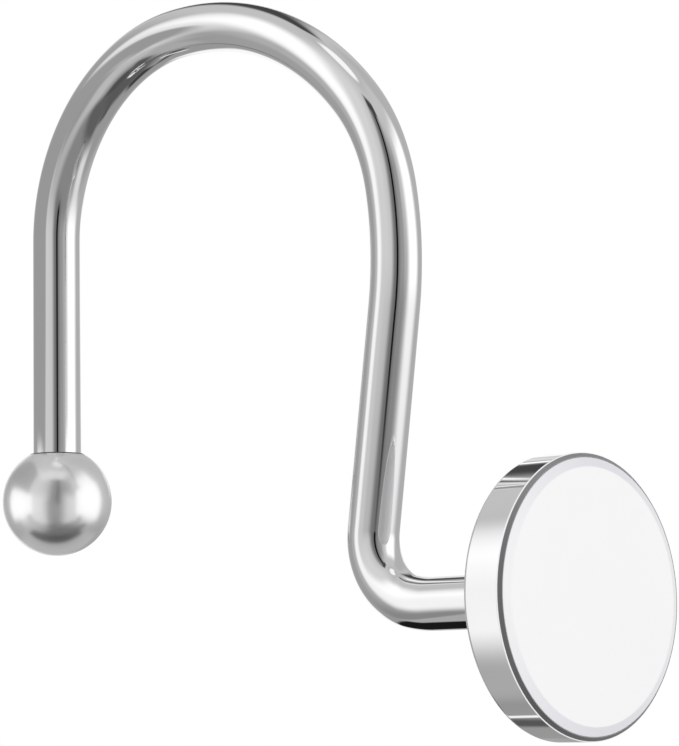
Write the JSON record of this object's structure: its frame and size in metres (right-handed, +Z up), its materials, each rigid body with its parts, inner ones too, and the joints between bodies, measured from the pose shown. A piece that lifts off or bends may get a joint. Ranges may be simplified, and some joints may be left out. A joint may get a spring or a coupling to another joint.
{
  "type": "shower curtain hook",
  "caption": "Bent round wire hook with a wide arch for a curtain rod, a ball on the short leg, and a shallow round cup with a white bevelled face on the front stub.",
  "frame": {"origin": "centre of the crown arc, which is the axis of the rod that the hook hangs on", "axes": "+Y along the rod, +X from the rod forward to the decorative face, +Z up along the short leg"},
  "size_m": [0.0614, 0.0206, 0.0598],
  "materials": {
    "polished_wire": "polished",
    "polished_ball": "polished, slightly satin",
    "polished_cup": "polished",
    "white_face": "gloss, with a bevelled edge",
    "clear_glue": "cured glue"
  },
  "bodies": {
    "root": {"hook_wire": "polished_wire", "end_ball": "polished_ball", "bezel_cup": "polished_cup", "face_insert": "white_face", "glue_layer": "clear_glue"}
  },
  "joints": []
}
